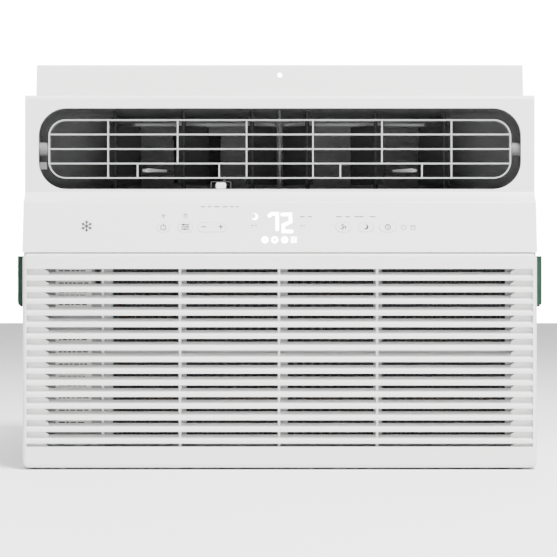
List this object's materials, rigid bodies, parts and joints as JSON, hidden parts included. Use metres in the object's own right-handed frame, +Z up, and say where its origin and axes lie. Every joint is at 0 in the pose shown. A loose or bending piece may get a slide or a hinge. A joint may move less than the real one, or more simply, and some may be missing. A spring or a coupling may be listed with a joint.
{
  "type": "window air conditioner",
  "caption": "Window air conditioner with slotted tilt-out intake grille, tilting outlet louvre, turning vanes, push keys, carry grips and full refrigeration interior.",
  "frame": {"origin": "middle of the footprint, on the underside of the base pan", "axes": "+X to the right of someone facing the front, +Y towards the outdoor side, +Z up"},
  "size_m": [0.52, 0.546, 0.389],
  "materials": {
    "white_plastic": "fine satin texture",
    "button_plastic": "satin",
    "grille_plastic": "satin",
    "light_grey_plastic": "satin",
    "filter_plastic": "matte",
    "mid_grey_plastic": "satin",
    "filter_net": "woven net",
    "black_plastic": "matte",
    "green_plastic": "satin",
    "cabinet_paint": "satin powder coat",
    "rail_paint": "satin paint",
    "galvanised_steel": "zinc spangle",
    "screw_steel": "zinc plated",
    "grey_foam_plastic": "matte",
    "black_paint": "gloss paint",
    "copper_tube": "drawn tube",
    "fin_aluminium": "thin sheet",
    "rubber_black": "matte",
    "board_green": "solder mask",
    "smoke_plastic": "satin",
    "capacitor_can": "plain",
    "steel_shaft": "ground",
    "motor_paint": "satin"
  },
  "bodies": {
    "housing": {"base_pan": "galvanised_steel", "drain_plug": "rubber_black", "cabinet_shell": "cabinet_paint", "cord_gland": "rubber_black", "top_rail": "rail_paint", "left_carry_grip": "green_plastic", "right_carry_grip": "green_plastic", "case_screws": "screw_steel", "front_frame": "white_plastic", "display_board": "board_green", "display_lens": "smoke_plastic", "outlet_duct": "grey_foam_plastic", "vent_guide": "black_plastic", "control_box": "galvanised_steel", "control_cover": "mid_grey_plastic", "control_board": "board_green", "run_capacitor": "capacitor_can", "evaporator_fins": "fin_aluminium", "evaporator_coil": "copper_tube", "blower_scroll": "grey_foam_plastic", "bulkhead": "galvanised_steel", "fan_motor": "motor_paint", "motor_bracket": "galvanised_steel", "fan_shroud": "black_plastic", "condenser_fins": "fin_aluminium", "condenser_coil": "copper_tube", "compressor": "black_paint", "compressor_grommets": "rubber_black", "compressor_studs": "screw_steel", "terminal_cover": "black_plastic", "accumulator": "black_paint", "suction_line": "copper_tube", "condenser_lines": "copper_tube", "filter_drier": "copper_tube", "capillary_tube": "copper_tube"},
    "louver": {"louver_frame": "light_grey_plastic"},
    "left_vane_middle": {"left_vane_middle": "black_plastic", "left_lever_cap": "light_grey_plastic"},
    "left_vane_outer": {"left_vane_outer": "black_plastic"},
    "left_vane_inner": {"left_vane_inner": "black_plastic"},
    "left_link": {"left_link_rod": "mid_grey_plastic"},
    "right_vane_middle": {"right_vane_middle": "black_plastic", "right_lever_cap": "light_grey_plastic"},
    "right_vane_outer": {"right_vane_outer": "black_plastic"},
    "right_vane_inner": {"right_vane_inner": "black_plastic"},
    "right_link": {"right_link_rod": "mid_grey_plastic"},
    "vent_pull": {"vent_pull": "white_plastic"},
    "vent_door": {"vent_door": "black_plastic"},
    "power_button": {"power_button": "button_plastic"},
    "mode_button": {"mode_button": "button_plastic"},
    "temperature_rocker": {"temperature_rocker": "button_plastic"},
    "fan_button": {"fan_button": "button_plastic"},
    "sleep_button": {"sleep_button": "button_plastic"},
    "timer_button": {"timer_button": "button_plastic"},
    "grille": {"intake_grille": "grille_plastic"},
    "filter": {"filter_frame": "filter_plastic", "filter_mesh": "filter_net"},
    "rotor": {"motor_shaft": "steel_shaft", "blower_wheel": "black_plastic", "condenser_fan": "black_plastic"}
  },
  "joints": [
    {"name": "louver_tilt", "type": "hinge", "parent": "housing", "child": "louver", "pos_m": [0, -0.236, 0.3024], "axis": [1, 0, 0], "range_deg": [-18, 18]},
    {"name": "left_vane_middle_turn", "type": "hinge", "parent": "housing", "child": "left_vane_middle", "pos_m": [-0.0925, -0.2, 0.302], "axis": [0, 0, 1], "range_deg": [0, 79]},
    {"name": "left_vane_outer_turn", "type": "hinge", "parent": "housing", "child": "left_vane_outer", "pos_m": [-0.1585, -0.2, 0.302], "axis": [0, 0, 1], "range_deg": [0, 79]},
    {"name": "left_vane_inner_turn", "type": "hinge", "parent": "housing", "child": "left_vane_inner", "pos_m": [-0.0265, -0.2, 0.302], "axis": [0, 0, 1], "range_deg": [0, 79]},
    {"name": "left_link_turn", "type": "hinge", "parent": "left_vane_middle", "child": "left_link", "pos_m": [-0.0727, -0.1802, 0.3285], "axis": [0, 0, 1], "range_deg": [-79, 0]},
    {"name": "right_vane_middle_turn", "type": "hinge", "parent": "housing", "child": "right_vane_middle", "pos_m": [0.0925, -0.2, 0.302], "axis": [0, 0, 1], "range_deg": [-79, 0]},
    {"name": "right_vane_outer_turn", "type": "hinge", "parent": "housing", "child": "right_vane_outer", "pos_m": [0.1585, -0.2, 0.302], "axis": [0, 0, 1], "range_deg": [-79, 0]},
    {"name": "right_vane_inner_turn", "type": "hinge", "parent": "housing", "child": "right_vane_inner", "pos_m": [0.0265, -0.2, 0.302], "axis": [0, 0, 1], "range_deg": [-79, 0]},
    {"name": "right_link_turn", "type": "hinge", "parent": "right_vane_middle", "child": "right_link", "pos_m": [0.0727, -0.1802, 0.3285], "axis": [0, 0, 1], "range_deg": [0, 79]},
    {"name": "vent_pull_slide", "type": "slide", "parent": "housing", "child": "vent_pull", "axis": [0, -1, 0], "range_m": [0, 0.018]},
    {"name": "vent_door_turn", "type": "hinge", "parent": "housing", "child": "vent_door", "pos_m": [-0.0835, -0.0706, 0.322], "axis": [1, 0, 0], "range_deg": [-21.5, 0]},
    {"name": "power_press", "type": "slide", "parent": "housing", "child": "power_button", "axis": [0, 0.9698, -0.2439], "range_m": [0, 0.0008], "stiffness_N_per_m": 400},
    {"name": "mode_press", "type": "slide", "parent": "housing", "child": "mode_button", "axis": [0, 0.9698, -0.2439], "range_m": [0, 0.0008], "stiffness_N_per_m": 400},
    {"name": "fan_press", "type": "slide", "parent": "housing", "child": "fan_button", "axis": [0, 0.9698, -0.2439], "range_m": [0, 0.0008], "stiffness_N_per_m": 400},
    {"name": "sleep_press", "type": "slide", "parent": "housing", "child": "sleep_button", "axis": [0, 0.9698, -0.2439], "range_m": [0, 0.0008], "stiffness_N_per_m": 400},
    {"name": "timer_press", "type": "slide", "parent": "housing", "child": "timer_button", "axis": [0, 0.9698, -0.2439], "range_m": [0, 0.0008], "stiffness_N_per_m": 400},
    {"name": "temperature_rock", "type": "hinge", "parent": "housing", "child": "temperature_rocker", "pos_m": [-0.0637, -0.26308, 0.22667], "axis": [0, 0.2439, 0.9698], "range_deg": [-2, 2], "stiffness_Nm_per_rad": 0.05},
    {"name": "grille_tilt", "type": "hinge", "parent": "housing", "child": "grille", "pos_m": [0, -0.263, 0.01], "axis": [1, 0, 0], "range_deg": [0, 40]},
    {"name": "filter_lift", "type": "slide", "parent": "grille", "child": "filter", "axis": [0, 0, 1], "range_m": [0, 0.05]},
    {"name": "fan_spin", "type": "hinge", "parent": "housing", "child": "rotor", "pos_m": [0.045, -0.1, 0.142], "axis": [0, 1, 0], "continuous": true}
  ],
  "couplings": [
    {"joint": "left_vane_outer_turn", "follows": "left_vane_middle_turn", "ratio": 1},
    {"joint": "left_vane_inner_turn", "follows": "left_vane_middle_turn", "ratio": 1},
    {"joint": "left_link_turn", "follows": "left_vane_middle_turn", "ratio": -1},
    {"joint": "right_vane_outer_turn", "follows": "right_vane_middle_turn", "ratio": 1},
    {"joint": "right_vane_inner_turn", "follows": "right_vane_middle_turn", "ratio": 1},
    {"joint": "right_link_turn", "follows": "right_vane_middle_turn", "ratio": -1},
    {"joint": "vent_door_turn", "follows": "vent_pull_slide", "rad_per_m": -20.75},
    {"joint": "filter_lift", "follows": "grille_tilt", "m_per_rad": 0.0715}
  ]
}
